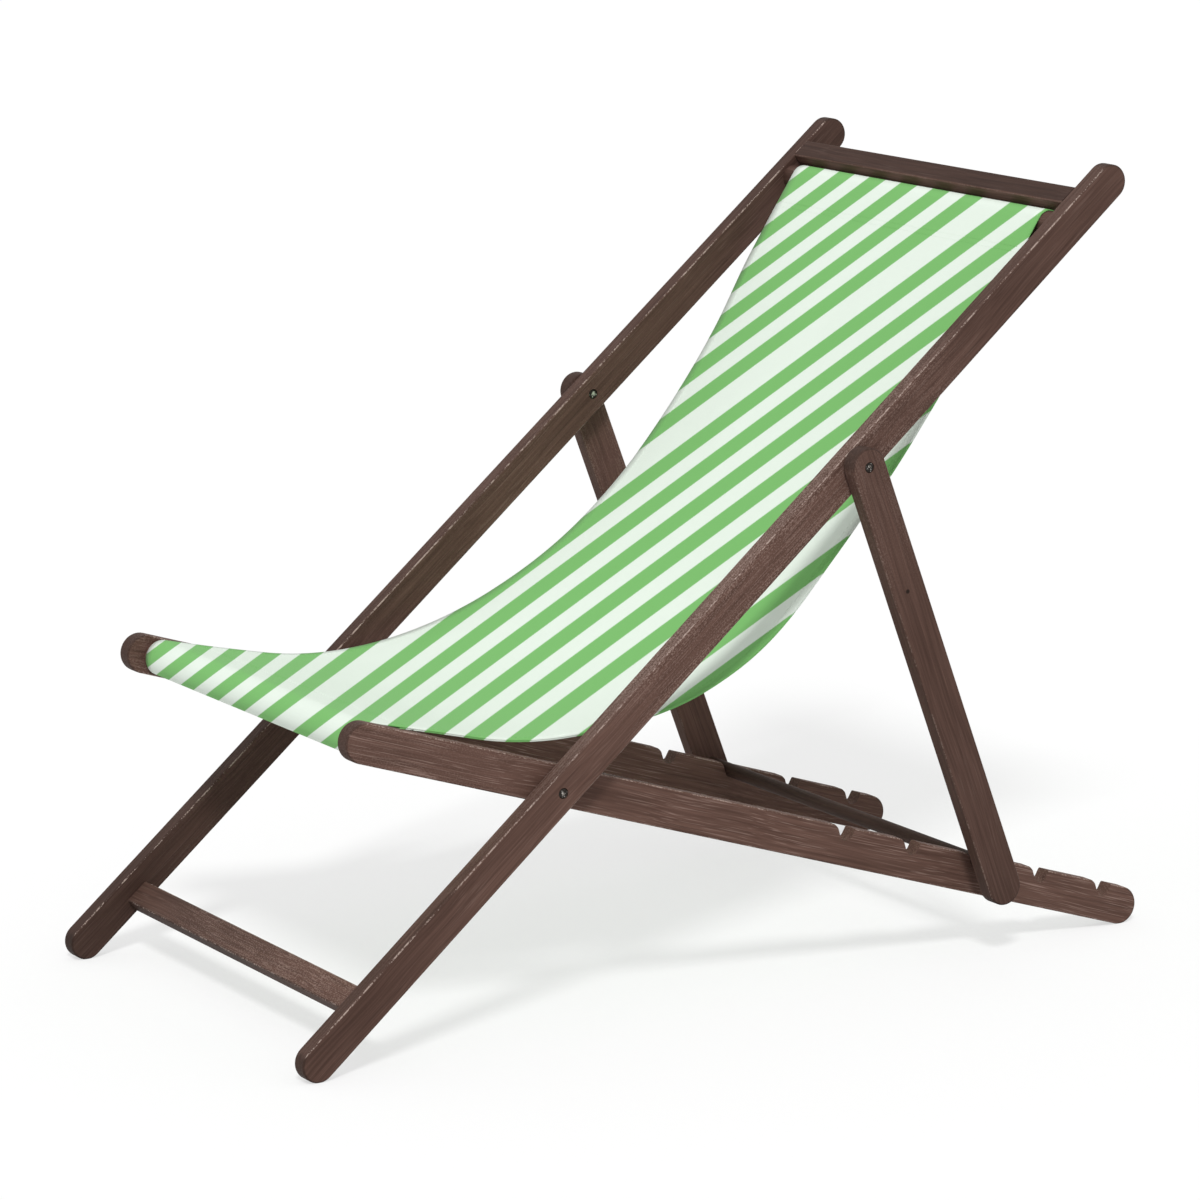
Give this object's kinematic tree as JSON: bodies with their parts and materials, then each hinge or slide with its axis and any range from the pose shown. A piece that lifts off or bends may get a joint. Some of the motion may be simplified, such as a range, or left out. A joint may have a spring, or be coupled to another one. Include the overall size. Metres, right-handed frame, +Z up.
{
  "type": "deck chair",
  "caption": "Folding wooden deck chair with a striped cloth sling, a notched seat frame and a swinging prop that sets the recline.",
  "frame": {"origin": "centre of the chair's footprint, on the floor", "axes": "the chair faces -Y, +X points to the sitter's left, +Z up"},
  "size_m": [0.586, 1.0604, 0.8499],
  "materials": {
    "stained_wood": "dark brown stain, satin, worn lighter on the edges",
    "sling_cloth": "green and white striped woven canvas",
    "pivot_steel": "dull zinc plating"
  },
  "bodies": {
    "back_frame": {"back_rail_left": "stained_wood", "back_rail_right": "stained_wood", "top_rail": "stained_wood", "foot_rail": "stained_wood", "top_sling_dowel": "stained_wood", "sling": "sling_cloth", "seat_pivot_bolt_left": "pivot_steel", "seat_pivot_bolt_right": "pivot_steel", "seat_pivot_nut_left": "pivot_steel", "seat_pivot_nut_right": "pivot_steel", "seat_pivot_washer_left": "pivot_steel", "seat_pivot_washer_right": "pivot_steel", "prop_pivot_bolt_left": "pivot_steel", "prop_pivot_bolt_right": "pivot_steel", "prop_pivot_nut_left": "pivot_steel", "prop_pivot_nut_right": "pivot_steel", "prop_pivot_washer_left": "pivot_steel", "prop_pivot_washer_right": "pivot_steel"},
    "seat_frame": {"seat_rail_left": "stained_wood", "seat_rail_right": "stained_wood", "front_sling_dowel": "stained_wood"},
    "prop_frame": {"prop_strut_left": "stained_wood", "prop_strut_right": "stained_wood", "prop_bar": "stained_wood"}
  },
  "joints": [
    {"name": "seat_fold", "type": "hinge", "parent": "back_frame", "child": "seat_frame", "pos_m": [0, -0.22346, 0.2573], "axis": [1, 0, 0], "range_deg": [0, 57.99], "deforming": ["sling"]},
    {"name": "prop_swing", "type": "hinge", "parent": "back_frame", "child": "prop_frame", "pos_m": [0, 0.14047, 0.55944], "axis": [1, 0, 0], "range_deg": [0, 133.38]}
  ],
  "couplings": [
    {"joint": "prop_swing", "follows": "seat_fold", "ratio": 2.3}
  ]
}
